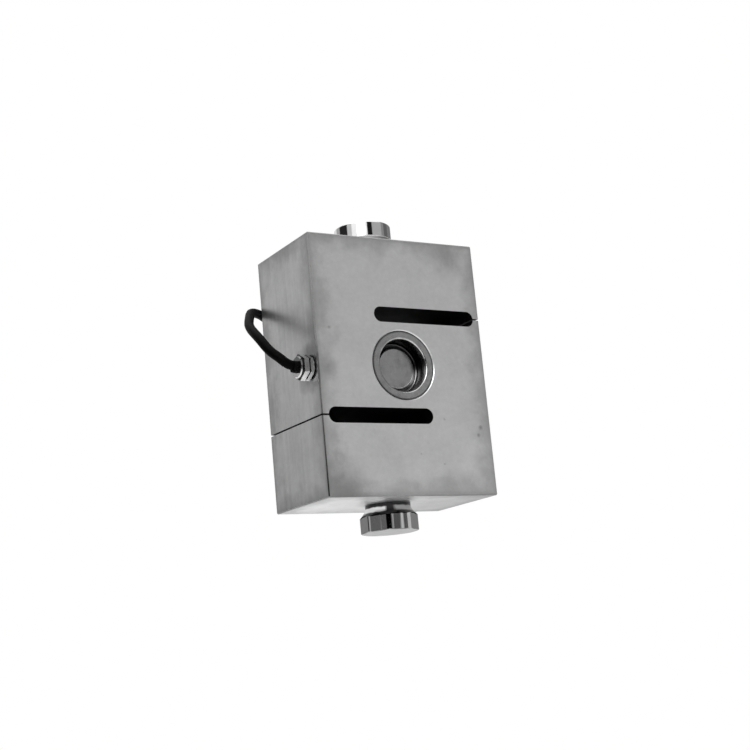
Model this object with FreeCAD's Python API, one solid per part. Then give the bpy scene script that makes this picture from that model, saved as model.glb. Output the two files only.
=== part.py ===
import FreeCAD
import Part
import math
import os

from FreeCAD import Vector

# S-type load cell, in millimetres.
#
# The load runs along Z. The origin is the middle of the upper stud's end face, which is the face that
# holds the cell, +X runs along the body's width, away from the cable gland, and +Y runs through its
# depth, from the front face to the rear face.
#
# A solid steel block is cut by two long slots into an S. The middle of the S is a thin web between two
# round pockets, and the strain gauges are bonded to that web. A drawn steel cup seals each pocket. A
# round-headed stud screws into each end. The cable enters through a gland on the left side.

# ---- body ----
body_width = 111.0
body_depth = 63.0
body_height = 150.0
body_edge_break = 0.6

# ---- the two slots that make the S ----
slot_width = 9.0
slot_offset = 29.4          # from the middle of the body to each slot's centre line
slot_outer_wall = 4.2       # from the slot's round end to the side that the slit opens on
slot_inner_wall = 39.0      # from the slot's other end to the other side
slit_gap = 1.0

# ---- gauge pockets and web ----
pocket_radius = 17.5
web_thickness = 15.0
pocket_edge_break = 0.6     # chamfer round the seat of each sealing cup
wire_hole_radius = 1.6
wire_hole_rise = 13.0       # from the pocket's centre up to the hole through the web

# ---- sealing cups ----
cup_flange_radius = 20.0
cup_wall_radius = 15.3
cup_disc_radius = 12.1
cup_disc_depth = 8.2        # from the body's face to the raised disc
cup_groove_depth = 10.8     # from the body's face to the bottom of the ring groove
cup_sheet = 0.6
cup_flange_sink = 0.25      # the flange lies this far under the body's face
cup_seat_clearance = 0.1
cup_lip_bend = 1.1
cup_disc_bend = 0.9
cup_groove_bend = 1.2

# ---- studs ----
stud_reach = 16.0           # from the body's end to the stud's end face
stud_neck_radius = 13.2
stud_neck_length = 3.1
stud_flare_length = 4.1     # along the axis, from the neck to the head's edge
stud_head_radius = 16.8
stud_rim_round = 0.9
stud_edge_round = 0.3       # where the flare meets the head
stud_flare_lean = 0.54      # how much narrower than the head the flare ends
stud_thread_radius = 10.0
stud_thread_length = 24.0
stud_thread_relief = 1.2    # groove under the shoulder, where the thread runs out
stud_tip_chamfer = 1.5
stud_thread_clearance = 0.05
stud_hole_extra = 4.0       # hole beyond the stud's tip
drill_point_angle = 118.0
stud_flats = 8
stud_flats_across = 31.4    # across the flats of the lower stud's head
stud_corner_round = 4.0     # between one flat and the next
stud_flat_turn = 9.1        # turns the flats about the axis, in degrees

# ---- cable gland ----
gland_from_front = 9.1      # from the body's front face to the gland's axis
gland_drop = 1.3            # from the middle of the body down to the gland's axis
gland_across_flats = 13.2
gland_turn = 0.0            # turns the hexagons about the axis, in degrees
gland_thread_radius = 6.0
gland_thread_length = 9.0
gland_thread_clearance = 0.05
gland_seal_ring_radius = 6.9
gland_seal_ring_thickness = 0.8
gland_body_hex_length = 2.4
gland_groove = 0.6          # between the two hexagons
gland_cap_hex_length = 3.0
gland_cap_dome = 1.6
gland_cap_face_radius = 5.6
gland_spigot_radius = 5.3   # the threaded neck that the cap nut screws on
gland_spigot_length = 2.6
gland_cap_clearance = 0.05
gland_cap_headroom = 0.4    # from the neck's end to where the cap's bore starts to close in
gland_cap_mouth = 0.7       # length of the straight mouth at the cap's end
gland_bore_radius = 3.0
gland_hex_chamfer = 0.5
seal_seat_radius = 4.3      # the seal's seat in the threaded neck
seal_seat_depth = 3.4
seal_clearance = 0.1
seal_lip_radius = 3.35
seal_lip_length = 2.6       # how far the seal's lip stands out of the cap nut
channel_radius = 3.8        # wire channel from the gland's hole to the front pocket
channel_drop = 2.9          # the channel lies this much deeper than the gland's axis

# ---- inside the pockets ----
gauge_length = 9.0
gauge_width = 6.0
gauge_thickness = 0.2
gauge_spread = 6.2          # from the web's centre to each gauge's centre
gauge_rise = 3.0
gauge_pad_inset = 0.9       # from the gauge's end to its soldering points
gauge_pad_spread = 1.26     # from the gauge's centre line to each of them
board_width = 16.0
board_height = 7.0
board_thickness = 0.8
board_drop = 8.6            # from the pocket's centre down to the board's centre
resistor_length = 3.2
resistor_width = 1.6
resistor_thickness = 0.6
resistor_spread = 5.0
lead_radius = 0.3
lead_bend = 1.0
lead_pitch = 0.75
lead_arch = 1.2             # how high the leads stand over the board
rear_lead_arch = 1.8        # and over the rear gauges
core_arch = 3.7             # and how high the cores stand over the board

# ---- cable ----
cable_diameter = 5.5
core_radius = 0.5
core_bend = 3.0
core_straight = 2.0         # from the sheath's end to where the cores turn towards the channel
core_offset = 0.72          # from the cable's centre line to each core, along Y and along Z
sheath_start = 1.5          # from the body's left side to where the sheath is stripped, in the gland
cable_straight = 10.5       # from there to where the cable starts to turn
pad_row_drop = 10.8         # from the pocket's centre down to the row of pads for the cores
pad_pitch = 3.0
lead_pad_drop = 5.9         # from the pocket's centre down to the row of pads for the leads
coil_mid_diameter = 58.0
coil_turns_across = 4       # the coil's section is this many turns each way
coil_corner = 4.0
coil_centre = Vector(6.0, 48.5, -105.0)
tie_width = 3.6
tie_thickness = 1.0
tie_angles = (60.0, 200.0)  # about the coil's axis, from +X towards +Z
tail_core_radius = 0.6
tail_core_offset = 0.95
tail_core_straight = 6.0    # from the sheath's end to where the cores spread
tail_core_splayed = 8.0
tail_fan = 2.4              # how far each core's tip stands out from the middle, along each way

# ---- places that follow from the sizes ----
body_top = -stud_reach
body_bottom = body_top - body_height
middle = body_top - body_height / 2
left = -body_width / 2
right = body_width / 2
front = -body_depth / 2
rear = body_depth / 2
pocket_depth = (body_depth - web_thickness) / 2
gland_y = front + gland_from_front
gland_z = middle - gland_drop
cable_radius = cable_diameter / 2
coil_side = coil_turns_across * cable_diameter

# The cable's route after the gland: round behind the body and down into the coil.
cable_route = [
    Vector(left - sheath_start, gland_y, gland_z),
    Vector(left - sheath_start - cable_straight, gland_y, gland_z),
    Vector(-73.5, -20.5, -86.5),
    Vector(-76.0, -14.5, -81.5),
    Vector(-77.0, -5.5, -72.0),
    Vector(-74.5, 11.5, -61.0),
    Vector(-66.5, 25.5, -51.5),
    Vector(-59.5, 37.0, -44.0),
    Vector(-46.5, 45.0, -44.0),
    Vector(-35.5, 48.5, -53.5),
    Vector(-31.0, 48.5, -69.5),
    Vector(-31.3, 48.5, -88.0),
    Vector(-31.2, 48.5, -101.0),
]
# The last stretch, from inside the coil to where the sheath is stripped.
tail_route = [
    Vector(6.0, 48.5, -142.2),
    Vector(18.0, 48.5, -143.2),
    Vector(30.0, 48.5, -147.5),
    Vector(39.0, 48.5, -155.0),
]


def at(x, y, z):
    return Vector(x, y, z)


def rounded_outline(corners):
    """A closed wire in the XZ plane. Each corner is (x, z) or (x, z, radius)."""
    points = [Vector(c[0], 0, c[1]) for c in corners]
    radii = [c[2] if len(c) > 2 else 0.0 for c in corners]
    starts, ends, arcs = [], [], []
    for i, point in enumerate(points):
        before = (points[i - 1] - point).normalize()
        after = (points[(i + 1) % len(points)] - point).normalize()
        if radii[i] == 0.0:
            starts.append(point)
            ends.append(point)
            arcs.append(None)
            continue
        half = before.getAngle(after) / 2
        cut = radii[i] / math.tan(half)
        inward = (before + after).normalize()
        middle_point = point + inward * (radii[i] / math.sin(half) - radii[i])
        starts.append(point + before * cut)
        ends.append(point + after * cut)
        arcs.append(middle_point)
    edges = []
    for i in range(len(points)):
        if arcs[i] is not None:
            edges.append(Part.Arc(starts[i], arcs[i], ends[i]).toShape())
        following = starts[(i + 1) % len(points)]
        if ends[i].distanceToPoint(following) > 1e-6:
            edges.append(Part.LineSegment(ends[i], following).toShape())
    return Part.Wire(edges)


def turned(corners):
    """The solid that a half section in the XZ plane sweeps about the Z axis."""
    face = Part.Face(rounded_outline(corners))
    return face.revolve(at(0, 0, 0), at(0, 0, 1), 360)


def hexagon(across_flats, low, high, turn):
    """A hexagonal prism about Z, with one flat facing -Y before it is turned."""
    corner_radius = across_flats / 2 / math.cos(math.pi / 6)
    corners = []
    for i in range(6):
        angle = math.radians(60 * i + turn)
        corners.append(at(corner_radius * math.cos(angle), corner_radius * math.sin(angle), low))
    return Part.Face(Part.makePolygon(corners + corners[:1])).extrude(at(0, 0, high - low))


def cylinder(radius, start, direction, length):
    return Part.makeCylinder(radius, length, start, direction)


def bent_path(points, largest):
    """Straight runs joined by tangent arcs, each as large as its two runs and the largest radius allow."""
    edges, radii = [], []
    here = points[0]
    for i in range(1, len(points) - 1):
        back = points[i - 1] - points[i]
        ahead = points[i + 1] - points[i]
        turn = math.pi - back.getAngle(ahead)
        radius = min(largest, 0.45 * min(back.Length, ahead.Length) / math.tan(turn / 2))
        cut = radius * math.tan(turn / 2)
        radii.append(radius)
        inward = (Vector(back).normalize() + Vector(ahead).normalize()).normalize()
        start = points[i] + Vector(back).normalize() * cut
        end = points[i] + Vector(ahead).normalize() * cut
        crest = points[i] + inward * (radius / math.cos(turn / 2) - radius)
        edges.append(Part.LineSegment(here, start).toShape())
        edges.append(Part.Arc(start, crest, end).toShape())
        here = end
    edges.append(Part.LineSegment(here, points[-1]).toShape())
    return Part.Wire(edges), radii


def tube(points, radius, largest_bend=math.inf):
    """A round solid along a bent path."""
    path, radii = bent_path(points, largest_bend)
    direction = points[1] - points[0]
    section = Part.Wire(Part.makeCircle(radius, points[0], direction))
    solid = path.makePipeShell([section], True, False)
    return solid, path, radii


# ---- body and studs ----

def slot(centre_z, opens_to):
    """One slot with round ends and the narrow slit that opens it; opens_to is +1 for the right side."""
    radius = slot_width / 2
    outer_end = opens_to * (body_width / 2 - slot_outer_wall - radius)
    inner_end = -opens_to * (body_width / 2 - slot_inner_wall - radius)
    low_x, high_x = min(outer_end, inner_end), max(outer_end, inner_end)
    depth = at(0, 1, 0)
    cut = Part.makeBox(high_x - low_x, body_depth, slot_width,
                       at(low_x, front, centre_z - radius))
    for x in (low_x, high_x):
        cut = cut.fuse(cylinder(radius, at(x, front, centre_z), depth, body_depth))
    slit_x = outer_end if opens_to > 0 else left
    slit_length = body_width / 2 - abs(outer_end)
    slit = Part.makeBox(slit_length, body_depth, slit_gap, at(slit_x, front, centre_z - slit_gap / 2))
    return cut.fuse(slit)


def stud_hole(opening_z, inward):
    """A drilled and tapped hole from one end of the body; inward is the way it goes, +1 or -1 along Z."""
    radius = stud_thread_radius + stud_thread_clearance
    depth = stud_thread_length + stud_hole_extra
    point = radius / math.tan(math.radians(drill_point_angle / 2))
    outline = [(0, 0), (radius, 0), (radius, depth), (0, depth + point)]
    hole = turned(outline)
    if inward < 0:
        hole.rotate(at(0, 0, 0), at(1, 0, 0), 180)
    hole.translate(at(0, 0, opening_z))
    return hole


def pocket(face_y, inward):
    """A round pocket with the ledge that the sealing cup's flange seats on."""
    direction = at(0, inward, 0)
    ledge = cup_flange_sink + cup_sheet
    seat_radius = cup_flange_radius + cup_seat_clearance
    mouth = at(0, face_y, middle)
    bore = cylinder(pocket_radius, mouth, direction, pocket_depth)
    seat = cylinder(seat_radius, mouth, direction, ledge)
    edge = Part.makeCone(seat_radius + pocket_edge_break, seat_radius, pocket_edge_break, mouth, direction)
    return bore.fuse(seat).fuse(edge)


def gland_hole():
    """The tapped hole in the left side and the wire channel on to the front pocket."""
    inward = at(1, 0, 0)
    tapped = cylinder(gland_thread_radius + gland_thread_clearance, at(left, gland_y, gland_z), inward,
                      gland_thread_length)
    channel = cylinder(channel_radius, at(left + gland_thread_length, gland_y + channel_drop, gland_z),
                       inward, -left - gland_thread_length - pocket_radius / 2)
    return tapped.fuse(channel)


def body():
    block = Part.makeBox(body_width, body_depth, body_height, at(left, front, body_bottom))
    block = block.makeChamfer(body_edge_break, block.Edges)
    block = block.cut(slot(middle + slot_offset, 1))
    block = block.cut(slot(middle - slot_offset, -1))
    block = block.cut(stud_hole(body_top, -1))
    block = block.cut(stud_hole(body_bottom, 1))
    block = block.cut(pocket(front, 1))
    block = block.cut(pocket(rear, -1))
    block = block.cut(gland_hole())
    wire_hole = cylinder(wire_hole_radius, at(0, front + pocket_depth, middle + wire_hole_rise),
                         at(0, 1, 0), web_thickness)
    return block.cut(wire_hole)


def stud():
    """One stud about Z, its shoulder at z = 0, its head above and its thread below."""
    neck_top = stud_neck_length
    head_low = neck_top + stud_flare_length
    relief = stud_thread_radius - stud_thread_relief
    profile = [
        (0, -stud_thread_length),
        (stud_thread_radius - stud_tip_chamfer, -stud_thread_length),
        (stud_thread_radius, stud_tip_chamfer - stud_thread_length),
        (stud_thread_radius, -2 * stud_thread_relief),
        (relief, -stud_thread_relief),
        (relief, 0),
        (stud_neck_radius, 0),
        (stud_neck_radius, neck_top, stud_flare_length),
        (stud_head_radius - stud_flare_lean, head_low - stud_rim_round / 2),
        (stud_head_radius, head_low, stud_edge_round),
        (stud_head_radius, stud_reach, stud_rim_round),
        (0, stud_reach),
    ]
    return turned(profile)


def upper_stud():
    piece = stud()
    piece.translate(at(0, 0, body_top))
    return piece


def flatted_head():
    """The prism round the lower stud's head, about Z: flats with a well rounded corner between them."""
    corner_radius = stud_flats_across / 2 / math.cos(math.pi / stud_flats)
    corners = []
    for i in range(stud_flats):
        angle = 2 * math.pi * (i + 0.5) / stud_flats
        corners.append((corner_radius * math.cos(angle), corner_radius * math.sin(angle), stud_corner_round))
    prism = Part.Face(rounded_outline(corners)).extrude(at(0, -stud_reach, 0))
    prism.rotate(at(0, 0, 0), at(1, 0, 0), -90)
    prism.rotate(at(0, 0, 0), at(0, 0, 1), stud_flat_turn)
    return prism


def lower_stud():
    """The same stud upside down, with flats round its head for a spanner."""
    shank = cylinder(stud_thread_radius, at(0, 0, -stud_thread_length), at(0, 0, 1), stud_thread_length)
    piece = stud().common(flatted_head().fuse(shank))
    piece.rotate(at(0, 0, 0), at(1, 0, 0), 180)
    piece.translate(at(0, 0, body_bottom))
    return piece


# ---- sealing cups and what they cover ----

def sealing_cup():
    """One drawn cup about Z, its flange's outer face at z = 0 and its floor below."""
    sheet = cup_sheet
    disc = cup_flange_sink - cup_disc_depth
    groove = cup_flange_sink - cup_groove_depth
    profile = [
        (0, disc),
        (cup_disc_radius, disc, cup_disc_bend),
        (cup_disc_radius, groove, cup_groove_bend),
        (cup_wall_radius, groove, cup_groove_bend),
        (cup_wall_radius, 0, cup_lip_bend),
        (cup_flange_radius, 0),
        (cup_flange_radius, -sheet),
        (cup_wall_radius + sheet, -sheet, cup_lip_bend - sheet),
        (cup_wall_radius + sheet, groove - sheet, cup_groove_bend + sheet),
        (cup_disc_radius - sheet, groove - sheet, cup_groove_bend + sheet),
        (cup_disc_radius - sheet, disc - sheet, cup_disc_bend - sheet),
        (0, disc - sheet),
    ]
    return turned(profile)


def front_cup():
    piece = sealing_cup()
    piece.rotate(at(0, 0, 0), at(1, 0, 0), 90)
    piece.translate(at(0, front + cup_flange_sink, middle))
    return piece


def rear_cup():
    piece = sealing_cup()
    piece.rotate(at(0, 0, 0), at(1, 0, 0), -90)
    piece.translate(at(0, rear - cup_flange_sink, middle))
    return piece


def strain_gauge(side, face_y, outward):
    """A foil gauge at 45 degrees on the web; side is -1 or +1 along X, outward is the web face's way."""
    low_y = face_y if outward > 0 else face_y - gauge_thickness
    foil = Part.makeBox(gauge_length, gauge_thickness, gauge_width,
                        at(-gauge_length / 2, low_y, -gauge_width / 2))
    foil.rotate(at(0, 0, 0), at(0, 1, 0), -45 * side)
    foil.translate(at(side * gauge_spread, 0, middle + gauge_rise))
    return foil


def terminal_board():
    web_face = front + pocket_depth
    low_z = middle - board_drop - board_height / 2
    return Part.makeBox(board_width, board_thickness, board_height,
                        at(-board_width / 2, web_face - board_thickness, low_z))


def resistor(side):
    board_face = front + pocket_depth - board_thickness
    return Part.makeBox(resistor_length, resistor_thickness, resistor_width,
                        at(side * resistor_spread - resistor_length / 2, board_face - resistor_thickness,
                           middle - board_drop - resistor_width / 2))


# ---- cable gland, about the X axis ----

def along_gland(piece):
    """Lays a piece made about +Z along the gland's axis, with z = 0 on the body's left side."""
    piece.rotate(at(0, 0, 0), at(0, 1, 0), -90)
    piece.translate(at(left, gland_y, gland_z))
    return piece


def gland_seal_ring():
    ring = Part.makeCylinder(gland_seal_ring_radius, gland_seal_ring_thickness)
    return along_gland(ring.cut(Part.makeCylinder(gland_thread_radius, gland_seal_ring_thickness)))


def chamfered_hexagon(low, high, chamfer_low, chamfer_high):
    """A hexagon whose corners are turned off at 30 degrees at the ends that are named."""
    corner = gland_across_flats / 2 / math.cos(math.pi / 6)
    drop = gland_hex_chamfer
    slope = drop / math.tan(math.radians(30))
    outline = [(0, low), (corner - (slope if chamfer_low else 0), low)]
    if chamfer_low:
        outline.append((corner, low + drop))
    if chamfer_high:
        outline.append((corner, high - drop))
    outline += [(corner - (slope if chamfer_high else 0), high), (0, high)]
    return hexagon(gland_across_flats, low, high, gland_turn).common(turned(outline))


def gland_levels():
    """From the body outwards: both hexagons' ends, the threaded neck's end and the cap nut's end."""
    body_hex_low = gland_seal_ring_thickness
    body_hex_high = body_hex_low + gland_body_hex_length
    cap_low = body_hex_high + gland_groove
    neck_high = cap_low + gland_spigot_length
    cap_hex_high = cap_low + gland_cap_hex_length
    return body_hex_low, body_hex_high, cap_low, neck_high, cap_hex_high, cap_hex_high + gland_cap_dome


def gland_body():
    hex_low, hex_high, _, neck_high, _, _ = gland_levels()
    seat_low = neck_high - seal_seat_depth
    bottom = -gland_thread_length
    piece = chamfered_hexagon(hex_low, hex_high, True, True)
    piece = piece.fuse(cylinder(gland_thread_radius, at(0, 0, bottom), at(0, 0, 1), hex_low - bottom))
    piece = piece.fuse(cylinder(gland_spigot_radius, at(0, 0, hex_high), at(0, 0, 1), neck_high - hex_high))
    piece = piece.cut(cylinder(gland_bore_radius, at(0, 0, bottom), at(0, 0, 1), neck_high - bottom))
    piece = piece.cut(cylinder(seal_seat_radius, at(0, 0, seat_low), at(0, 0, 1), seal_seat_depth))
    return along_gland(piece.removeSplitter())


def gland_cap():
    _, _, low, neck_high, hex_high, high = gland_levels()
    corner = gland_across_flats / 2 / math.cos(math.pi / 6)
    bore = gland_spigot_radius + gland_cap_clearance
    mouth = seal_lip_radius + seal_clearance
    bore_high = neck_high + gland_cap_headroom
    mouth_low = high - gland_cap_mouth
    outside = [(0, low), (corner, low), (corner, hex_high), (gland_cap_face_radius, high), (0, high)]
    inside = [(0, low), (bore, low), (bore, bore_high), (mouth, mouth_low), (mouth, high), (0, high)]
    piece = hexagon(gland_across_flats, low, high, gland_turn).common(turned(outside))
    return along_gland(piece.cut(turned(inside)))


def gland_seal():
    """The rubber bush that grips the cable, with a lip outside the cap nut that bends with the cable."""
    _, _, _, neck_high, _, high = gland_levels()
    bore_high = neck_high + gland_cap_headroom
    mouth_low = high - gland_cap_mouth
    first_bend = bent_path(cable_route, math.inf)[0].OrderedEdges[1]
    bend_start = first_bend.valueAt(first_bend.FirstParameter)
    straight_end = left - bend_start.x
    profile = [
        (cable_radius, neck_high - seal_seat_depth),
        (seal_seat_radius, neck_high - seal_seat_depth),
        (seal_seat_radius, neck_high),
        (gland_spigot_radius - seal_clearance, neck_high),
        (gland_spigot_radius - seal_clearance, bore_high - seal_clearance),
        (seal_lip_radius, mouth_low - seal_clearance),
        (seal_lip_radius, straight_end),
        (cable_radius, straight_end),
    ]
    bush = along_gland(turned(profile))
    circle = first_bend.Curve
    outer, inner = [Part.Face(Part.Wire(Part.makeCircle(radius, bend_start, at(-1, 0, 0))))
                    for radius in (seal_lip_radius, cable_radius)]
    bend = (circle.Center, circle.Axis, math.degrees(seal_lip_length / circle.Radius))
    lip = outer.revolve(*bend).cut(inner.revolve(*bend))
    return bush.fuse(lip).removeSplitter()


# ---- wires inside the cell ----

def core_offsets(spread):
    """Where the four cores lie round the cable's centre line, along Y and along Z."""
    return {"red": (-spread, spread), "black": (spread, spread),
            "green": (-spread, -spread), "white": (spread, -spread)}


def signal_core(colour):
    """One core, from the stripped sheath through the wire channel to its pad on the board."""
    along_y, along_z = core_offsets(core_offset)[colour]
    pad = {"white": -1.5, "black": -0.5, "green": 0.5, "red": 1.5}[colour] * pad_pitch
    board_face = front + pocket_depth - board_thickness
    over_board = board_face - core_arch + along_y
    channel_y = gland_y + channel_drop + along_y
    points = [
        at(left - sheath_start, gland_y + along_y, gland_z + along_z),
        at(left - sheath_start + core_straight, gland_y + along_y, gland_z + along_z),
        at(-pocket_radius, channel_y, gland_z + along_z),
        at(pad, over_board, middle - pad_row_drop),
        at(pad, board_face, middle - pad_row_drop),
    ]
    return tube(points, core_radius, core_bend)[0]


def gauge_pads():
    """The two soldering points of each gauge of a pair, as (x, z) from the web's centre."""
    along = (gauge_length / 2 - gauge_pad_inset) * math.sqrt(0.5)
    across = gauge_pad_spread * math.sqrt(0.5)
    pads = []
    for side in (-1, 1):
        pads.append((side * (gauge_spread - along + across), gauge_rise - along - across))
        pads.append((side * (gauge_spread - along - across), gauge_rise - along + across))
    return pads


def front_leads():
    """Four fine wires from the front gauges down to the board."""
    gauge_face = front + pocket_depth - gauge_thickness
    board_face = front + pocket_depth - board_thickness
    arch = board_face - lead_arch
    wires = []
    for x, z in gauge_pads():
        points = [at(x, gauge_face, middle + z), at(x, arch, middle + z),
                  at(x, arch, middle - lead_pad_drop), at(x, board_face, middle - lead_pad_drop)]
        wires.append(tube(points, lead_radius, lead_bend)[0])
    return Part.makeCompound(wires)


def rear_leads():
    """Four fine wires from the rear gauges, through the web's hole and down to the board."""
    gauge_face = rear - pocket_depth + gauge_thickness
    board_face = front + pocket_depth - board_thickness
    arch = board_face - lead_arch
    behind = gauge_face + rear_lead_arch
    wires = []
    for i, (x, z) in enumerate(sorted(gauge_pads())):
        lane = (i - 1.5) * lead_pitch
        points = [at(x, gauge_face, middle + z), at(x, behind, middle + z),
                  at(lane, behind, middle + wire_hole_rise), at(lane, arch, middle + wire_hole_rise),
                  at(lane, arch, middle - lead_pad_drop), at(lane, board_face, middle - lead_pad_drop)]
        wires.append(tube(points, lead_radius, lead_bend)[0])
    return Part.makeCompound(wires)


# ---- the free cable ----

def cable_coil():
    """The outer shape of the tied coil, a ring about the Y axis."""
    mid, half = coil_mid_diameter / 2, coil_side / 2
    ring = turned([(mid - half, -half, coil_corner), (mid + half, -half, coil_corner),
                   (mid + half, half, coil_corner), (mid - half, half, coil_corner)])
    ring.rotate(at(0, 0, 0), at(1, 0, 0), 90)
    ring.translate(coil_centre)
    return ring


def cable():
    whole, path, radii = tube(cable_route, cable_radius)
    print("cable bends, mm:", " ".join("%.1f" % r for r in radii))
    expected = math.pi * cable_radius ** 2 * path.Length
    print("cable %.1f mm, volume over section times length %.5f" % (path.Length, whole.Volume / expected))
    return whole.cut(cable_coil())


def cable_tail():
    whole, path, radii = tube(tail_route, cable_radius)
    print("tail bends, mm:", " ".join("%.1f" % r for r in radii), "length %.1f" % path.Length)
    return whole.cut(cable_coil())


def coil_tie(angle):
    """A flat strap round the coil's turns at one place."""
    reach = coil_mid_diameter / 2
    half = coil_side / 2 + tie_thickness
    corner = coil_corner + tie_thickness
    strap = Part.Face(rounded_outline([(reach - half, -half, corner), (reach + half, -half, corner),
                                       (reach + half, half, corner), (reach - half, half, corner)]))
    strap = strap.extrude(at(0, tie_width, 0))
    strap.translate(at(0, -tie_width / 2, 0))
    strap.rotate(at(0, 0, 0), at(1, 0, 0), 90)
    strap.rotate(at(0, 0, 0), at(0, 1, 0), -angle)
    strap.translate(coil_centre)
    return strap.cut(cable_coil())


def tail_wire(name):
    """One stripped end, from the sheath's cut face, fanned out from its neighbours."""
    end = tail_route[-1]
    ahead = (end - tail_route[-2]).normalize()
    across = ahead.cross(at(0, 1, 0)).normalize()
    places = core_offsets(tail_core_offset)
    places["shield"] = (0.0, 0.0)
    along_y, along_side = places[name]
    fan_y, fan_side = core_offsets(tail_fan)[name] if name != "shield" else (0.0, tail_fan / 3)
    start = end + at(0, along_y, 0) + across * along_side
    bend = start + ahead * tail_core_straight
    tip = bend + ahead * tail_core_splayed + across * fan_side + at(0, fan_y, 0)
    return tube([start, bend, tip], tail_core_radius)[0]


pieces = {
    "body": body(),
    "upper_stud": upper_stud(),
    "lower_stud": lower_stud(),
    "front_cup": front_cup(),
    "rear_cup": rear_cup(),
    "front_left_gauge": strain_gauge(-1, front + pocket_depth, -1),
    "front_right_gauge": strain_gauge(1, front + pocket_depth, -1),
    "rear_left_gauge": strain_gauge(-1, rear - pocket_depth, 1),
    "rear_right_gauge": strain_gauge(1, rear - pocket_depth, 1),
    "terminal_board": terminal_board(),
    "zero_resistor": resistor(-1),
    "span_resistor": resistor(1),
    "front_leads": front_leads(),
    "rear_leads": rear_leads(),
    "gland_seal_ring": gland_seal_ring(),
    "gland_body": gland_body(),
    "gland_seal": gland_seal(),
    "gland_cap_nut": gland_cap(),
    "cable": cable(),
    "cable_coil": cable_coil(),
    "cable_tail": cable_tail(),
    "coil_tie_upper": coil_tie(tie_angles[0]),
    "coil_tie_side": coil_tie(tie_angles[1]),
    "tail_shield": tail_wire("shield"),
}
for core_colour in ("red", "black", "green", "white"):
    pieces["signal_core_" + core_colour] = signal_core(core_colour)
    pieces["tail_core_" + core_colour] = tail_wire(core_colour)

os.makedirs("parts", exist_ok=True)
for piece_name, shape in pieces.items():
    if not shape.isValid() or shape.Volume <= 0:
        print("not a valid solid:", piece_name)
    shape.exportStep("parts/" + piece_name + ".step")
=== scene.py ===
import itertools
import math

import bmesh
import bpy
from mathutils import Matrix, Vector


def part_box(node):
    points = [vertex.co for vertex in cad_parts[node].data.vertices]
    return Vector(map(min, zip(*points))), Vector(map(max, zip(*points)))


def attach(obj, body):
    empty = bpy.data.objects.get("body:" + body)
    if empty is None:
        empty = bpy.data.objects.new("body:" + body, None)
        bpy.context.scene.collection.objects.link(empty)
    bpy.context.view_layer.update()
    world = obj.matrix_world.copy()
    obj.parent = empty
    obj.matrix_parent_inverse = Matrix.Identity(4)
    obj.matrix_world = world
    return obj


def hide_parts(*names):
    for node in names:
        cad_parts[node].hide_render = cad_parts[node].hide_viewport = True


# An S-type load cell that hangs by its upper stud, in metres, in the frame of the CAD model: the origin
# is the middle of the upper stud's end face, +X is away from the cable gland and +Y goes to the rear.

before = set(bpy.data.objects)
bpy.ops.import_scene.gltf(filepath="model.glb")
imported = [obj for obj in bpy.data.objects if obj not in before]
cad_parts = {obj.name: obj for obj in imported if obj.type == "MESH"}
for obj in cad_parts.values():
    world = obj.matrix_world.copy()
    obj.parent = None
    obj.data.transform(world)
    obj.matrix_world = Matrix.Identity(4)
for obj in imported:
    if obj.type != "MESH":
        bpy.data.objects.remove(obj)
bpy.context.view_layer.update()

# ---- camera ----
camera_place = Vector((-0.42719, -0.69446, -0.26633))
camera_forward = Vector((0.51178, 0.83252, 0.21211))
camera_up = Vector((-0.03109, -0.22878, 0.97298))
camera_lens = 68.36
camera_sensor = 36.0

# ---- floor and studio ----
floor_height = -0.46
floor_half = 1.5
floor_grey = 0.92
floor_rough = 0.9
background_grey = 1.0
key_place = Vector((-0.9, -1.3, 0.9))
key_aim = Vector((0.0, 0.0, -0.09))
key_size = 1.0
key_power = 14.0
# The studio round the object, as it shows in polished metal. Each card is where it starts and ends round
# the room and in height, both in degrees, then how bright it is. Round the room, 0 is the camera's side
# and positive is to the camera's right. A later card covers an earlier one.
room_grey = 0.28
studio_cards = (
    (-104.0, -62.0, 12.0, 50.0, 0.02),
    (-62.0, -42.0, 12.0, 50.0, 0.55),
    (-42.0, 22.5, 12.0, 50.0, 0.98),
    (22.5, 43.0, 12.0, 50.0, 0.01),
    (43.0, 86.0, 12.0, 50.0, 0.40),
    (86.0, 100.0, 12.0, 50.0, 0.24),
    (100.0, 125.0, 12.0, 50.0, 0.12),
    (-180.0, -128.0, 9.0, 50.0, 0.75),
    (125.0, 180.0, 9.0, 50.0, 0.20),
    (-128.0, -104.0, 9.0, 50.0, 0.36),
    (-180.0, -104.0, -2.0, 9.0, 0.20),
    (112.0, 180.0, -2.0, 9.0, 0.20),
    (-104.0, -78.0, -20.0, 12.0, 0.02),
    (-78.0, -51.0, -20.0, 12.0, 0.34),
    (-51.0, -40.0, -20.0, 12.0, 0.11),
    (-40.0, 38.0, -30.0, 12.0, 0.0),
    (38.0, 47.0, -20.0, 12.0, 0.08),
    (47.0, 112.0, -20.0, 12.0, 0.50),
    (55.0, 66.0, 10.0, 15.0, 0.05),
    (112.0, 250.0, -90.0, -2.0, 1.1),
    (-180.0, 180.0, 50.0, 90.0, 1.4),
)
card_blur = 2.4             # degrees over which a card's edge fades
floor_painted_light_pool = (0.35, 1.2)    # a painted pool of light: the floor is palest nearer than the first, and has faded at the second
floor_far_grey = 0.66

# ---- materials ----
# A pattern is its scale, its levels of detail and the weight of its finer levels. Where a tone or a
# roughness is a pair, a pattern's low values give the first and its high values the second.
pattern_span = (0.3, 0.7)           # most of a pattern's values lie in here
pattern_span_wide = (0.25, 0.75)
polish_grain = (1500.0, 2.0, 0.5)
ragged = (0.75, 1.25)               # how far the reach of a mark or a shade wanders, as shares of it

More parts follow.
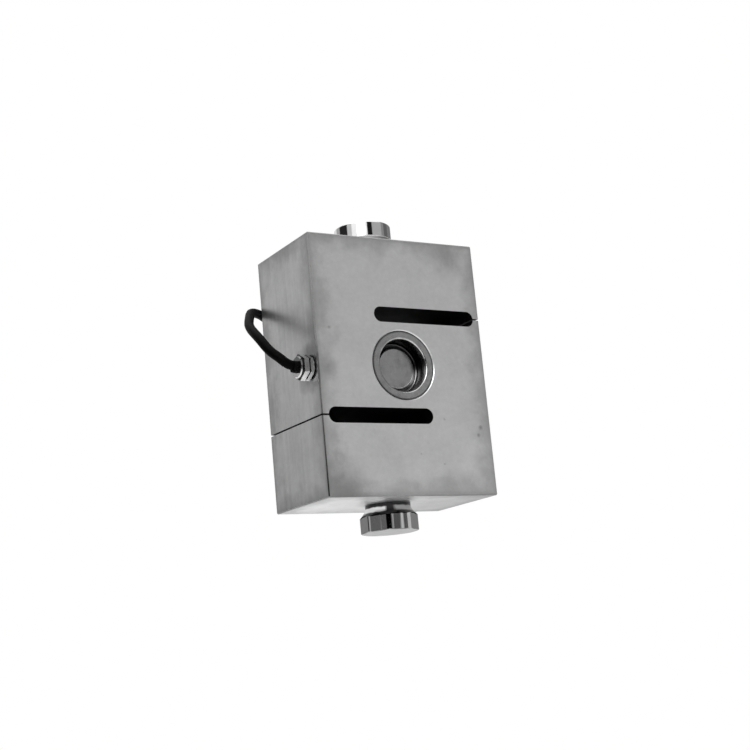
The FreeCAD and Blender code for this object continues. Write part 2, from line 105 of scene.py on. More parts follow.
body_grey = 0.88
body_clouds = (34.0, 5.0, 0.6)
body_drift = (75.0, 4.0, 0.55)
body_specks = (420.0, 3.0, 0.6)
body_streaks = (1.0, 3.0, 0.6)
body_streak_scale = (260.0, 260.0, 14.0)
cloud_depth = 0.08                  # how much the body's grey varies in clouds, in specks and in streaks
speck_depth = 0.03
streak_depth = 0.07
body_rough = (0.42, 0.34)
body_bump = (0.00002, 0.5)          # how deep the specks are, and how strongly they show
on_face = 0.0003                    # a point nearer than this to a face's plane is on that face
edge_painted_shade = 0.74                    # painted shade: the body's grey at its edges, as a share of the grey on its faces
edge_painted_shade_width = 0.015
edge_wander = 0.006                 # how far the painted shade's border wanders in and out
edge_close_painted_shade = 0.86                     # right beside the edges the painted shade is darker still
edge_close_painted_shade_width = 0.0035
edge_line = (0.00002, 0.00062)      # the broken edges themselves lie between these depths
edge_line_grey = 0.50
edge_line_rough = 0.18
gland_shade = 0.45                  # painted shadow: the body's grey next to the gland, as a share
gland_shade_reach = (0.006, 0.017)
gland_side_depth = 0.001            # the shade covers the left face, this deep
underside_shade = 0.36              # how much darker the bottom face is away from the gland
underside_shade_reach = (-0.020, 0.045)
# marks on the front face: across, up, radius and how dark, from 0 to 1
body_marks = (
    (0.0485, -0.1265, 0.0022, 0.45),
    (0.0465, -0.1310, 0.0016, 0.35),
    (-0.0465, -0.0710, 0.0014, 0.30),
    (0.0240, -0.1220, 0.0012, 0.25),
    (0.0210, -0.1480, 0.0010, 0.30),
    (0.0060, -0.1420, 0.0010, 0.25),
    (-0.0480, -0.0930, 0.0090, 0.28),
    (-0.0440, -0.1600, 0.0240, 0.34),
    (0.0400, -0.0260, 0.0160, 0.20),
)
mark_depth = 0.0009                 # marks cover the front face, this deep
small_mark = 0.003                  # under this radius a mark is ragged as the specks are
slot_offset = 0.0294                # from the middle of the body to each slot's centre line
slot_half_height = 0.0047
# painted shade: the slots' walls are near black, as the shade deep in the slots
slot_painted_shade_grey = 0.008
slot_rougher = 0.3

cup_patches = (160.0, 5.0, 0.6)
cup_grain = (1200.0, 2.0, 0.5)
cup_grain_depth = 0.00001
cup_tone = (0.38, 0.72)
cup_rough = (0.28, 0.18)
# distances from a cup's axis between which its ring groove, its disc's edge and its rim start and end
cup_groove = ((0.01195, 0.0121), (0.01533, 0.0155))
cup_disc_edge = ((0.0112, 0.0115), (0.0120, 0.0121))
cup_rim = (0.0190, 0.0197)
cup_groove_painted_shade = 0.09                     # painted shade: the grey of the ring groove, as a share of the cup's own
cup_groove_shade_lower_right = 0.40                 # and towards the lower right, where the painted shade is lighter
cup_lower_right = (0.6, 1.3)        # where that starts and is whole: 1.4 is exactly lower right
cup_edge_painted_highlight = 0.5                  # how much brighter the disc's painted highlight on its edge is, and how much rougher that edge is
cup_edge_rougher = 0.3
# painted shadow at the flange's rim: the grey there, as a share of the cup's own
cup_rim_painted_shadow = 0.25

stud_patches = (120.0, 5.0, 0.6)
stud_tone = (0.86, 0.93)
stud_rough = (0.09, 0.04)
stud_grain_depth = 0.000002
stud_head_edge = -0.0088            # under this height, the upper stud's flare and neck are duller
stud_flare_fade = 0.0004
stud_flare_dull = 0.42

ground_waves = (1.0, 2.0, 0.4)
ground_wave_scale = (150.0, 150.0, 14.0)
ground_wave_depth = 0.0004
ground_patches = (160.0, 4.0, 0.6)
ground_tone = (0.84, 0.92)
ground_rough = 0.07
ground_end_depth = 0.0004           # the lower stud's end face is worn, this deep
ground_end_dull = 0.6
ground_end_rough = 0.35
# the lower stud's neck is painted dark as a painted reflection, except in a band: how far under the block
# that band starts, is whole, ends and is painted dark again
neck_band = ((0.0018, 0.0024), (0.0046, 0.0052))
neck_foot = 0.0018                  # the painted dark strip under the band is this wide
neck_wobble = 0.0004
# the grey of the neck's painted dark reflection, as a share
neck_painted_dark = 0.04
# round the stud the band has a painted dark gap: degrees from +X towards +Y, and then degrees from the gap's
# middle at which its bright side ends, its half bright side starts and the bright side fades at the back
neck_gap = -116.6
neck_bright_end = (-13.0, -7.0)
neck_half_start = (7.0, 15.0)
neck_bright_back = (-180.0, -140.0)
neck_half_bright = 0.4

gland_patches = (200.0, 5.0, 0.6)
gland_tone = (0.74, 0.92)
gland_rough = (0.2, 0.1)
gland_grain_depth = 0.000008
# how far out of the block the gland has painted shade: in the groove between its hexagons, and at the cap's
# end
gland_groove = (0.0031, 0.0039)
gland_end_dark = (0.0068, 0.0079)
gland_painted_shade = 0.04
# the lip's painted shade fades in over this height, and above it the lip keeps this share of its light
gland_lip_fade = 0.0015
gland_lip_above = 0.3

plastic_patches = (90.0, 3.0, 0.5)
plastic_grain = (900.0, 2.0, 0.5)
plastic_grain_depth = 0.00002
plastic_variation = 0.15            # how far its colour varies, as a share, and its roughness
plastic_rough_variation = 0.05
plastic_shine = 0.5
sheath_black = (0.0015, 0.0015, 0.0015)
sheath_rough = 0.48
sheath_shine = 0.03
nylon_black = (0.02, 0.02, 0.02)
nylon_rough = 0.45
# other plain materials: name, colour, roughness, shine and the pieces that have them
plain_materials = (
    ("black_rubber", sheath_black, 0.6, 0.06, ("gland_seal", "gland_seal_ring")),
    ("gauge_foil", (0.55, 0.32, 0.08), 0.3, plastic_shine,
     ("front_left_gauge", "front_right_gauge", "rear_left_gauge", "rear_right_gauge")),
    ("board_green", (0.03, 0.16, 0.06), 0.35, plastic_shine, ("terminal_board",)),
    ("resistor_body", (0.02, 0.02, 0.022), 0.4, plastic_shine, ("zero_resistor", "span_resistor")),
    ("lead_enamel", (0.45, 0.16, 0.05), 0.25, plastic_shine, ("front_leads", "rear_leads")),
    ("tie_nylon", nylon_black, nylon_rough, plastic_shine, ("coil_tie_upper", "coil_tie_side")),
    ("shield_sleeve", (0.45, 0.40, 0.05), 0.5, plastic_shine, ("tail_shield",)),
)
core_colours = (
    ("red", (0.55, 0.03, 0.02)),
    ("black", (0.015, 0.015, 0.015)),
    ("green", (0.02, 0.22, 0.06)),
    ("white", (0.75, 0.75, 0.72)),
)
core_rough = 0.35
tinned_length = 0.004               # bare, tinned end of each wire at the cable's far end
tinned_grey = 0.75

# ---- cable ----
cable_diameter = 0.0055
gland_mouth = Vector((-0.0665, -0.0224, -0.0923))
cable_route = (
    (-0.0570, -0.0224, -0.0923),
    (-0.0675, -0.0224, -0.0923),
    (-0.0735, -0.0205, -0.0865),
    (-0.0760, -0.0145, -0.0815),
    (-0.0770, -0.0055, -0.0720),
    (-0.0745, 0.0115, -0.0610),
    (-0.0665, 0.0255, -0.0515),
    (-0.0595, 0.0370, -0.0440),
    (-0.0465, 0.0450, -0.0440),
    (-0.0355, 0.0485, -0.0535),
    (-0.0310, 0.0485, -0.0695),
    (-0.0313, 0.0485, -0.0880),
    (-0.0312, 0.0485, -0.1010),
)
tail_route = (
    (0.0060, 0.0485, -0.1422),
    (0.0180, 0.0485, -0.1432),
    (0.0300, 0.0485, -0.1475),
    (0.0390, 0.0485, -0.1550),
)
coil_centre = Vector((0.0060, 0.0485, -0.1050))
coil_mid_radius = 0.0290
coil_cells = 4              # turns across the coil's section, each way
coil_from = 188.0           # degrees about the coil's axis, from +X towards +Z, where the first turn starts
coil_to = 264.0             # and where the last one ends
tie_angles = (("upper", 60.0), ("side", 200.0))     # about the coil's axis, from +X towards +Z
tie_head = (0.0052, 0.0058, 0.0042)         # a locking head's width, length along the strap and height
tie_head_foot = 0.0006      # from the outermost turn to the head
tie_strap = 0.0012
tie_strap_height = 0.55     # the strap leaves its head at this share of the head's height
tie_stub = 0.0016           # it is cut off this far out of the head, and starts this deep inside it
tie_stub_inside = 0.0008
tie_stub_half = 0.36        # half its width, as a share of the head's
tie_rim = 0.0005            # the mouth's rim is this far out of the head and in it
tie_rim_half = 0.42
tie_bevel = 0.0003
tie_bevel_steps = 2
coil_points = 24            # control points in a turn
cable_round_steps = 5       # how finely the cable's section is made, and its length between two points
cable_long_steps = 4
cable_order = 3             # of the curve through the points
shift_length = 30.0         # degrees over which a turn moves to the next place in the section


# ---- helpers ----

# a Mix node has sockets of one name for each kind of value, so its colours are found by number
mix_first, mix_second, mix_result = 6, 7, 2


def link(obj):
    bpy.context.scene.collection.objects.link(obj)
    return obj


def smooth_step(t):
    t = min(max(t, 0.0), 1.0)
    return t * t * (3 - 2 * t)


def grey(value):
    return (value, value, value)


def either_way(depth):
    return (-depth, depth)


def new_material(name):
    """A material with one Principled shader, and what builds its nodes."""
    material = bpy.data.materials.new(name)
    material.use_nodes = True
    nodes = material.node_tree.nodes
    nodes.clear()
    output = nodes.new("ShaderNodeOutputMaterial")
    shader = nodes.new("ShaderNodeBsdfPrincipled")
    material.node_tree.links.new(shader.outputs["BSDF"], output.inputs["Surface"])
    return material, Nodes(material.node_tree), shader


class Nodes:
    """Short ways to add the nodes that the materials share."""

    def __init__(self, tree):
        self.tree = tree

    def add(self, kind, **settings):
        node = self.tree.nodes.new(kind)
        for name, value in settings.items():
            setattr(node, name, value)
        return node

    def join(self, source, target):
        self.tree.links.new(source, target)

    def place(self):
        """The point on the surface, in metres."""
        return self.add("ShaderNodeTexCoord").outputs["Object"]

    def axes(self, source=None):
        """The X, Y and Z of a direction, or else of the point on the surface."""
        split = self.add("ShaderNodeSeparateXYZ")
        self.join(source if source is not None else self.place(), split.inputs["Vector"])
        return [split.outputs[name] for name in "XYZ"]

    def stretched(self, x, y, z):
        """The point on the surface, with each axis scaled by itself."""
        mapping = self.add("ShaderNodeMapping")
        mapping.inputs["Scale"].default_value = (x, y, z)
        self.join(self.place(), mapping.inputs["Vector"])
        return mapping.outputs["Vector"]

    def noise(self, source, scale, detail, roughness):
        """A pattern over a point in space."""
        node = self.add("ShaderNodeTexNoise")
        node.inputs["Scale"].default_value = scale
        node.inputs["Detail"].default_value = detail
        node.inputs["Roughness"].default_value = roughness
        self.join(source, node.inputs["Vector"])
        return node.outputs["Fac"]

    def math(self, operation, *values):
        node = self.add("ShaderNodeMath", operation=operation)
        for socket, value in zip(node.inputs, values):
            if isinstance(value, (int, float)):
                socket.default_value = value
            else:
                self.join(value, socket)
        return node.outputs["Value"]

    def in_order(self, operation, values):
        """Joins several values, from the first to the last, by one operation."""
        result = values[0]
        for value in values[1:]:
            result = self.math(operation, result, value)
        return result

    def plus(self, *values):
        return self.in_order("ADD", values)

    def times(self, *values):
        return self.in_order("MULTIPLY", values)

    def minus(self, first, second):
        return self.math("SUBTRACT", first, second)

    def under(self, value, limit):
        return self.math("LESS_THAN", value, limit)

    def over(self, value, limit):
        return self.math("GREATER_THAN", value, limit)

    def size(self, value):
        return self.math("ABSOLUTE", value)

    def lesser(self, first, second):
        return self.math("MINIMUM", first, second)

    def greater(self, first, second):
        return self.math("MAXIMUM", first, second)

    def span(self, value, low, high, to_low, to_high, kind="LINEAR"):
        """Maps low..high to to_low..to_high, and no further."""
        node = self.add("ShaderNodeMapRange", interpolation_type=kind)
        for name, number in (("From Min", low), ("From Max", high), ("To Min", to_low), ("To Max", to_high)):
            node.inputs[name].default_value = number
        self.join(value, node.inputs["Value"])
        return node.outputs["Result"]

    def varied(self, pattern, limits):
        """Maps where most of a pattern's values lie to between two limits."""
        return self.span(pattern, *pattern_span, *limits)

    def masked(self, mask, inside, outside=1.0):
        """One value where a mask is 1, and another where it is 0."""
        return self.span(mask, 0.0, 1.0, outside, inside)

    def band(self, value, rise, fall):
        """0 before the rise, 1 between the rise and the fall, and 0 after the fall."""
        return self.times(self.span(value, *rise, 0.0, 1.0), self.span(value, *fall, 1.0, 0.0))

    def less(self, tone, shade):
        """A tone darkened by a shade, from 0 to 1."""
        return self.times(tone, self.minus(1.0, shade))

    def as_grey(self, tone):
        """A grey colour of a tone."""
        colour = self.add("ShaderNodeCombineColor")
        for name in ("Red", "Green", "Blue"):
            self.join(tone, colour.inputs[name])
        return colour.outputs["Color"]

    def mixed(self, factor, first, second):
        """A colour between two, each a tuple or another node's colour."""
        node = self.add("ShaderNodeMix", data_type="RGBA")
        self.join(factor, node.inputs["Factor"])
        for index, value in ((mix_first, first), (mix_second, second)):
            if isinstance(value, tuple):
                node.inputs[index].default_value = (*value, 1.0)
            else:
                self.join(value, node.inputs[index])
        return node.outputs[mix_result]

    def bump(self, height, distance, strength=1.0):
        node = self.add("ShaderNodeBump")
        node.inputs["Distance"].default_value = distance
        node.inputs["Strength"].default_value = strength
        self.join(height, node.inputs["Height"])
        return node.outputs["Normal"]


# ---- camera, floor and light ----

def add_camera():
    data = bpy.data.cameras.new("camera")
    data.lens = camera_lens
    data.sensor_width = camera_sensor
    back = -camera_forward.normalized()
    right = camera_up.cross(back).normalized()
    up = back.cross(right)
    camera = link(bpy.data.objects.new("camera", data))
    turn = Matrix((right, up, back)).transposed().to_4x4()
    camera.matrix_world = Matrix.Translation(camera_place) @ turn
    bpy.context.scene.camera = camera


def add_floor():
    mesh = bpy.data.meshes.new("floor")
    corners = [(x * floor_half, y * floor_half, floor_height)
               for x, y in ((-1, -1), (1, -1), (1, 1), (-1, 1))]
    mesh.from_pydata(corners, [], [(0, 1, 2, 3)])
    floor = link(bpy.data.objects.new("floor", mesh))
    material, nodes, shader = new_material("floor_paper")
    away = nodes.add("ShaderNodeVectorMath", operation="LENGTH")
    nodes.join(nodes.stretched(1.0, 1.0, 0.0), away.inputs[0])
    # painted pool of light round the object, fading with distance
    fade = nodes.span(away.outputs["Value"], *floor_painted_light_pool, 0.0, 1.0)
    nodes.join(nodes.mixed(fade, grey(floor_grey), grey(floor_far_grey)), shader.inputs["Base Color"])
    shader.inputs["Roughness"].default_value = floor_rough
    mesh.materials.append(material)


def add_key_light():
    data = bpy.data.lights.new("key", "AREA")
    data.size = key_size
    data.energy = key_power
    light = link(bpy.data.objects.new("key", data))
    light.location = key_place
    light.rotation_euler = (key_aim - key_place).to_track_quat("-Z", "Y").to_euler()


def angle_round(nodes, x, y, start):
    """The angle round the Z axis, in radians either way from a start angle."""
    cos_start, sin_start = math.cos(start), math.sin(start)
    ahead = nodes.plus(nodes.times(x, cos_start), nodes.times(y, sin_start))
    across = nodes.minus(nodes.times(y, cos_start), nodes.times(x, sin_start))
    return nodes.math("ARCTAN2", across, ahead)


def studio_edge(nodes, distance, half):
    """1 nearer to a card's middle than half its size, and 0 beyond, with a soft edge between."""
    blur = card_blur / 2
    return nodes.span(distance, math.radians(half - blur), math.radians(half + blur), 1.0, 0.0)


def add_studio():
    """Cards of different greys all round, under and above, and a plain background for the camera."""
    world = bpy.data.worlds.new("studio")
    bpy.context.scene.world = world
    world.use_nodes = True
    world.node_tree.nodes.clear()
    nodes = Nodes(world.node_tree)
    x, y, z = nodes.axes(nodes.add("ShaderNodeTexCoord").outputs["Generated"])
    camera_side = math.atan2(-camera_forward.y, -camera_forward.x)
    angle = angle_round(nodes, x, y, camera_side)
    height = nodes.math("ARCSINE", z)
    seen = grey(room_grey)
    for start, end, low, high, brightness in studio_cards:
        # measured from the card's middle, so that a card may lie across the back of the room
        turned = nodes.minus(angle, math.radians((start + end) / 2))
        turned = nodes.size(nodes.math("WRAP", turned, math.pi, -math.pi))
        raised = nodes.size(nodes.minus(height, math.radians((low + high) / 2)))
        mask = nodes.times(studio_edge(nodes, turned, (end - start) / 2),
                           studio_edge(nodes, raised, (high - low) / 2))
        seen = nodes.mixed(mask, seen, grey(brightness))
    camera_ray = nodes.add("ShaderNodeLightPath").outputs["Is Camera Ray"]
    background = nodes.add("ShaderNodeBackground")
    nodes.join(nodes.mixed(camera_ray, seen, grey(background_grey)), background.inputs["Color"])
    output = nodes.add("ShaderNodeOutputWorld")
    nodes.join(background.outputs["Background"], output.inputs["Surface"])


# ---- materials ----

def set_metal(nodes, shader, colour, roughness, normal):
    for name, source in (("Base Color", colour), ("Roughness", roughness), ("Normal", normal)):
        nodes.join(source, shader.inputs[name])
    shader.inputs["Metallic"].default_value = 1.0


def distance_from(nodes, across, up, middle):
    """How far a point is from a line square to two axes."""
    first, second = nodes.minus(across, middle[0]), nodes.minus(up, middle[1])
    return nodes.math("SQRT", nodes.plus(nodes.times(first, first), nodes.times(second, second)))


def stud_chrome():
    """The upper stud's polished plating, duller on the flare and the neck under its head."""
    material, nodes, shader = new_material("stud_chrome")
    _, _, z = nodes.axes()
    patches = nodes.noise(nodes.place(), *stud_patches)
    flare = nodes.span(z, stud_head_edge - stud_flare_fade, stud_head_edge, stud_flare_dull, 1.0)
    tone = nodes.times(nodes.varied(patches, stud_tone), flare)
    set_metal(nodes, shader, nodes.as_grey(tone), nodes.span(patches, *pattern_span_wide, *stud_rough),
              nodes.bump(nodes.noise(nodes.place(), *polish_grain), stud_grain_depth))
    return material


def body_steel():
    """Satin plated steel: cloudy patches, upright streaks on the sides, painted shade towards the block's
    edges and a painted shadow round the gland, a few marks on the front, and painted shade on the slots'
    walls."""
    material, nodes, shader = new_material("body_steel")
    low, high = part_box("body")
    centre, half = (low + high) / 2, (high - low) / 2
    place = nodes.place()
    x, y, z = nodes.axes(place)
    clouds = nodes.noise(place, *body_clouds)
    drift = nodes.noise(place, *body_drift)
    specks = nodes.noise(place, *body_specks)
    streaks = nodes.noise(nodes.stretched(*body_streak_scale), *body_streaks)
    # how far inside the block's faces the point is, along each axis: 0 on a face
    x_in, y_in, z_in = (nodes.minus(reach, nodes.size(nodes.minus(at, middle)))
                        for at, middle, reach in zip((x, y, z), centre, half))
    # the second smallest of the three is how far the point on a face is from that face's nearest edge
    from_edge = nodes.greater(nodes.lesser(x_in, y_in),
                              nodes.greater(nodes.lesser(x_in, z_in), nodes.lesser(y_in, z_in)))
    # painted shade: the grey darkens towards the block's edges, and more so right beside them
    wandering = nodes.plus(from_edge, nodes.varied(drift, either_way(edge_wander)))
    edge_shading = nodes.times(nodes.span(wandering, 0.0, edge_painted_shade_width, edge_painted_shade, 1.0, "SMOOTHSTEP"),
                          nodes.span(from_edge, 0.0, edge_close_painted_shade_width, edge_close_painted_shade, 1.0, "SMOOTHSTEP"))
    side_streaks = nodes.times(nodes.under(x_in, on_face), nodes.varied(streaks, either_way(streak_depth)))
    tone = nodes.plus(nodes.varied(clouds, either_way(cloud_depth)),
                      nodes.varied(specks, either_way(speck_depth)), side_streaks, body_grey)
    tone = nodes.times(tone, edge_shading)
    # the shades round the gland and on the bottom face
    from_gland = nodes.times(distance_from(nodes, y, z, gland_mouth.yz), nodes.varied(drift, ragged))
    tone = nodes.less(tone, nodes.times(nodes.under(x, low.x + gland_side_depth),
                                        nodes.span(from_gland, *gland_shade_reach, 1 - gland_shade, 0.0)))
    underneath = nodes.span(x, *underside_shade_reach, 0.0, underside_shade, "SMOOTHSTEP")
    tone = nodes.less(tone, nodes.times(nodes.under(z, low.z + on_face), underneath))
    on_front = nodes.under(y, low.y + mark_depth)
    for across, up, radius, depth in body_marks:
        away = nodes.times(distance_from(nodes, x, z, (across, up)),
                           nodes.varied(specks if radius < small_mark else drift, ragged))
        mark = nodes.span(away, 0.0, radius, depth, 0.0, "SMOOTHSTEP")
        tone = nodes.less(tone, nodes.times(on_front, mark))
    broken = nodes.times(nodes.under(from_edge, edge_line[1]), nodes.over(from_edge, edge_line[0]))
    tone = nodes.times(tone, nodes.masked(broken, edge_line_grey))
    # inside the slots, whose walls are painted near black as the shade deep in them: near a slot's height,
    # and away from the outer faces
    off_line = nodes.size(nodes.minus(nodes.size(nodes.minus(z, centre.z)), slot_offset))
    slot_walls = nodes.times(nodes.under(off_line, slot_half_height),
                           nodes.over(nodes.lesser(x_in, y_in), on_face))
    satin = nodes.plus(nodes.varied(clouds, body_rough), nodes.times(slot_walls, slot_rougher))
    set_metal(nodes, shader, nodes.mixed(slot_walls, nodes.as_grey(tone), grey(slot_painted_shade_grey)),
              nodes.plus(nodes.less(satin, broken), nodes.times(broken, edge_line_rough)),
              nodes.bump(specks, *body_bump))
    return material


def cup_steel():
    """The drawn cups' steel: stained in soft patches, with painted shade almost black in the ring groove and
    a painted shadow at the rim.
    """
    material, nodes, shader = new_material("cup_steel")
    low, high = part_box("front_cup")
    middle = (low + high) / 2
    x, _, z = nodes.axes()
    radius = distance_from(nodes, x, z, middle.xz)
    patches = nodes.noise(nodes.place(), *cup_patches)
    # towards the lower right the groove's painted shade is lighter, and the disc's edge has a painted
    # highlight
    lower_right = nodes.minus(nodes.minus(x, middle.x), nodes.minus(z, middle.z))
    lower_right = nodes.span(nodes.math("DIVIDE", lower_right, radius), *cup_lower_right, 0.0, 1.0,
                             "SMOOTHSTEP")
    # painted highlight on the disc's edge, towards the lower right
    disc_edge = nodes.times(nodes.band(radius, *cup_disc_edge), lower_right)
    tone = nodes.plus(nodes.varied(patches, cup_tone), nodes.times(disc_edge, cup_edge_painted_highlight))
    # painted shade in the ring groove
    tone = nodes.less(tone, nodes.times(nodes.band(radius, *cup_groove),
                                        nodes.masked(lower_right, 1 - cup_groove_shade_lower_right, 1 - cup_groove_painted_shade)))
    # painted shadow at the rim
    tone = nodes.times(tone, nodes.span(radius, *cup_rim, 1.0, cup_rim_painted_shadow))
    set_metal(nodes, shader, nodes.as_grey(tone),
              nodes.plus(nodes.varied(patches, cup_rough), nodes.times(disc_edge, cup_edge_rougher)),
              nodes.bump(nodes.noise(nodes.place(), *cup_grain), cup_grain_depth))
    return material


def ground_chrome():
    """The lower stud's plating over hand-ground flats: mirror-like, with upright waves. Its neck is painted
    dark as a painted reflection, except in a band, and its end face is worn dull."""
    material, nodes, shader = new_material("stud_chrome_ground")
    x, y, z = nodes.axes()
    waves = nodes.noise(nodes.stretched(*ground_wave_scale), *ground_waves)
    patches = nodes.noise(nodes.place(), *ground_patches)
    end_face = nodes.under(z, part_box("lower_stud")[0].z + ground_end_depth)
    below_block = nodes.plus(nodes.minus(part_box("body")[0].z, z),
                             nodes.varied(patches, either_way(neck_wobble)))
    # the band is left bright on one side of its painted dark gap, and half bright on the other side
    turn = nodes.math("DEGREES", angle_round(nodes, x, y, math.radians(neck_gap)))
    bright_side = nodes.times(nodes.span(turn, *neck_bright_end, 1.0, 0.0),
                             nodes.span(turn, *neck_bright_back, neck_half_bright, 1.0))
    kept = nodes.greater(bright_side, nodes.span(turn, *neck_half_start, 0.0, neck_half_bright))
    # painted reflection: the neck keeps its bright plating only in the band and below its foot
    left_bright = nodes.greater(nodes.times(nodes.band(below_block, *neck_band), kept),
                          nodes.over(below_block, neck_band[1][1] + neck_foot))
    tone = nodes.times(nodes.varied(patches, ground_tone), nodes.masked(end_face, ground_end_dull),
                       nodes.masked(left_bright, 1.0, neck_painted_dark))
    set_metal(nodes, shader, nodes.as_grey(tone), nodes.masked(end_face, ground_end_rough, ground_rough),
              nodes.bump(waves, ground_wave_depth))
    return material


def gland_nickel():
    """Nickel-plated brass, with painted shade in the groove between the hexagons and on the cap's rounded
    end.
    """
    material, nodes, shader = new_material("gland_nickel")
    x, _, z = nodes.axes()
    out = nodes.minus(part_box("body")[0].x, x)
    patches = nodes.noise(nodes.place(), *gland_patches)
    groove = nodes.times(nodes.over(out, gland_groove[0]), nodes.under(out, gland_groove[1]))
    # the painted shade leaves the end's lip lit underneath, and less so above
    lip = nodes.times(nodes.over(out, gland_end_dark[1]),
                      nodes.span(z, gland_mouth.z - gland_lip_fade, gland_mouth.z, 1.0, gland_lip_above))
    gland_shaded = nodes.greater(groove, nodes.less(nodes.over(out, gland_end_dark[0]), lip))
    # painted shade in the groove and on the cap's end
    tone = nodes.times(nodes.varied(patches, gland_tone), nodes.masked(gland_shaded, gland_painted_shade))
    set_metal(nodes, shader, nodes.as_grey(tone), nodes.span(patches, *pattern_span_wide, *gland_rough),
              nodes.bump(nodes.noise(nodes.place(), *polish_grain), gland_grain_depth))
    return material


def plastic(name, colour, roughness, shine=plastic_shine, wire_box=None):
    """Rubber, nylon and wire insulation: one colour that varies a little, over a fine grain. A wire whose
    box is given is stripped and tinned at its end."""
    material, nodes, shader = new_material(name)
    patches = nodes.noise(nodes.place(), *plastic_patches)
    fine = nodes.noise(nodes.place(), *plastic_grain)
    darker = tuple(c * (1 - plastic_variation) for c in colour)
    lighter = tuple(min(1.0, c * (1 + plastic_variation)) for c in colour)
    base = nodes.mixed(nodes.varied(patches, (0.0, 1.0)), darker, lighter)
    if wire_box:
        x, _, _ = nodes.axes()
        tinned = nodes.over(x, wire_box[1].x - tinned_length)
        base = nodes.mixed(tinned, base, grey(tinned_grey))
        nodes.join(tinned, shader.inputs["Metallic"])
    nodes.join(base, shader.inputs["Base Color"])
    nodes.join(nodes.varied(fine, (roughness - plastic_rough_variation, roughness + plastic_rough_variation)),
               shader.inputs["Roughness"])
    nodes.join(nodes.bump(fine, plastic_grain_depth), shader.inputs["Normal"])
    shader.inputs["Specular IOR Level"].default_value = shine
    return material


def paint(node, material):
    """Gives a CAD node's object its material."""
    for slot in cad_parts[node].material_slots:
        slot.material = material


def paint_all():
    paint("body", body_steel())
    paint("upper_stud", stud_chrome())
    paint("lower_stud", ground_chrome())
    for material, nodes in ((cup_steel(), ("front_cup", "rear_cup")),
                            (gland_nickel(), ("gland_body", "gland_cap_nut"))):
        for node in nodes:
            paint(node, material)
    for name, colour, roughness, shine, nodes in plain_materials:
        material = plastic(name, colour, roughness, shine)
        for node in nodes:
            paint(node, material)
    for name, colour in core_colours:
        tail = "tail_core_" + name
        paint("signal_core_" + name, plastic("core_" + name, colour, core_rough))
        paint(tail, plastic(tail, colour, core_rough, wire_box=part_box(tail)))


# ---- cable ----

def add_box(mesh, low, high):
    """Adds a box to a mesh under construction."""
    corners = [mesh.verts.new(place) for place in itertools.product(*zip(low, high))]
    for loop in ((0, 1, 3, 2), (4, 6, 7, 5), (0, 4, 5, 1), (2, 3, 7, 6), (0, 2, 6, 4), (1, 5, 7, 3)):
        mesh.faces.new([corners[i] for i in loop])


def add_tie_head(name, angle, material):
    """The locking head of a cable tie, on the strap where it is farthest from the coil's axis, with the
    cut end of the strap standing out of it."""
    shape = bmesh.new()
    width, along, tall = tie_head
    foot = coil_mid_radius + coil_cells * cable_diameter / 2 + tie_head_foot
    add_box(shape, (foot, -along / 2, -width / 2), (foot + tall, along / 2, width / 2))
    middle = foot + tall * tie_strap_height
    stub = width * tie_stub_half
    add_box(shape, (middle - tie_strap / 2, along / 2 - tie_stub_inside, -stub),
            (middle + tie_strap / 2, along / 2 + tie_stub, stub))
    # the mouth's rim, on the side that the strap goes in
    rim = width * tie_rim_half
    add_box(shape, (middle - tie_strap, -along / 2 - tie_rim, -rim),
            (middle + tie_strap, -along / 2 + tie_rim, rim))
    turn = Matrix.Translation(coil_centre) @ Matrix.Rotation(-math.radians(angle), 4, "Y")
    shape.transform(turn)
    shape.normal_update()
    mesh = bpy.data.meshes.new(name)
    shape.to_mesh(mesh)
    shape.free()
    mesh.materials.append(material)
    head = link(bpy.data.objects.new(name, mesh))
    bevel = head.modifiers.new("bevel", "BEVEL")
    bevel.width = tie_bevel
    bevel.segments = tie_bevel_steps
    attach(head, "root")
    return head


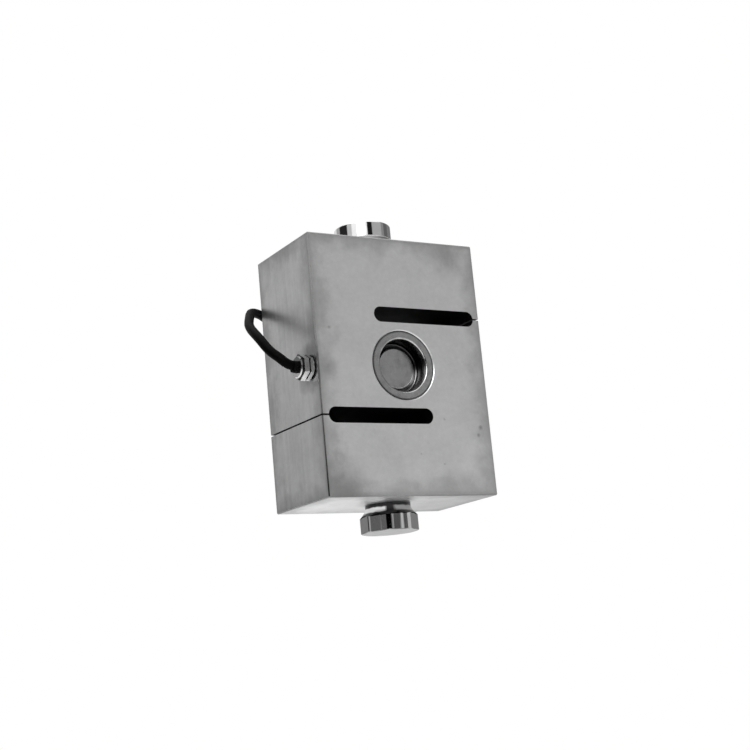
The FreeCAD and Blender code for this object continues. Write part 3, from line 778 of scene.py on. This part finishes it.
def coil_cell_order():
    """The places in the coil's section that the turns take in order, as (layer, column): in by one half
    of the columns and out by the other, each place beside the last."""
    half = coil_cells // 2
    order = []
    for layers, columns in ((range(coil_cells), range(half, coil_cells)),
                            (reversed(range(coil_cells)), range(half))):
        for layer in layers:
            order += [(layer, column) for column in (columns if layer % 2 == 0 else reversed(columns))]
    return order


def coil_turns():
    """Points of all the coil's turns. Each turn keeps its place in the section for most of its way
    round, and then moves over to the next place, which the turn before it has just left."""
    order = coil_cell_order()
    last_cell = len(order) - 1
    whole = 360.0 * last_cell + (coil_to - coil_from)
    stay = whole / len(order)
    count = round(whole / 360.0 * coil_points)
    middle_cell = (coil_cells - 1) / 2
    points = []
    for i in range(count + 1):
        gone = whole * i / count
        cell = min(int(gone / stay), last_cell)
        into_next = smooth_step((gone - (cell + 1) * stay + shift_length) / shift_length)
        following = order[min(cell + 1, last_cell)]
        layer = order[cell][0] + (following[0] - order[cell][0]) * into_next
        column = order[cell][1] + (following[1] - order[cell][1]) * into_next
        radius = coil_mid_radius + (middle_cell - layer) * cable_diameter
        angle = math.radians(coil_from + gone)
        points.append(coil_centre + Vector((radius * math.cos(angle),
                                            (column - middle_cell) * cable_diameter,
                                            radius * math.sin(angle))))
    return points


def add_cable():
    points = [Vector(p) for p in cable_route] + coil_turns() + [Vector(p) for p in tail_route]
    curve = bpy.data.curves.new("signal_cable", "CURVE")
    curve.dimensions = "3D"
    curve.bevel_depth = cable_diameter / 2
    curve.bevel_resolution = cable_round_steps
    curve.resolution_u = cable_long_steps
    curve.use_fill_caps = True
    spline = curve.splines.new("NURBS")
    spline.points.add(len(points) - 1)
    for point, place in zip(spline.points, points):
        point.co = (*place, 1.0)
    spline.order_u = cable_order
    spline.use_endpoint_u = True
    return link(bpy.data.objects.new("signal_cable", curve))


bpy.context.scene.view_settings.view_transform = "Standard"
add_camera()
add_floor()
add_key_light()
add_studio()

paint_all()
head_nylon = plastic("tie_head_nylon", nylon_black, nylon_rough)
tie_heads = [add_tie_head("tie_head_" + place, angle, head_nylon) for place, angle in tie_angles]
cable = add_cable()
cable.data.materials.append(plastic("cable_sheath", sheath_black, sheath_rough, sheath_shine))
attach(cable, "root")
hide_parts("cable", "cable_coil", "cable_tail")
